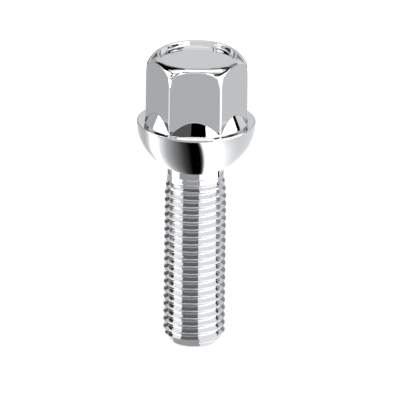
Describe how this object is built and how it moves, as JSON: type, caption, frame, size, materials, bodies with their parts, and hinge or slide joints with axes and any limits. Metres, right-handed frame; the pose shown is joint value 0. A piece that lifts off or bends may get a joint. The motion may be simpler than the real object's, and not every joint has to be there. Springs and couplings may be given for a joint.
{
  "type": "wheel bolt",
  "caption": "Chromed ball-seat wheel bolt: hexagon head with a shallow recess in its crown, round collar, plain neck and threaded shank with a chamfered flat point.",
  "frame": {"origin": "centre of the flat face of the point, which the bolt stands on", "axes": "+Z along the bolt's axis from the point to the head; a flat of the hexagon faces -Y"},
  "size_m": [0.0226, 0.0226, 0.0578],
  "materials": {
    "chrome": "bright chrome plate on forged steel, mirror polished"
  },
  "bodies": {
    "root": {"wheel_bolt": "chrome"}
  },
  "joints": []
}
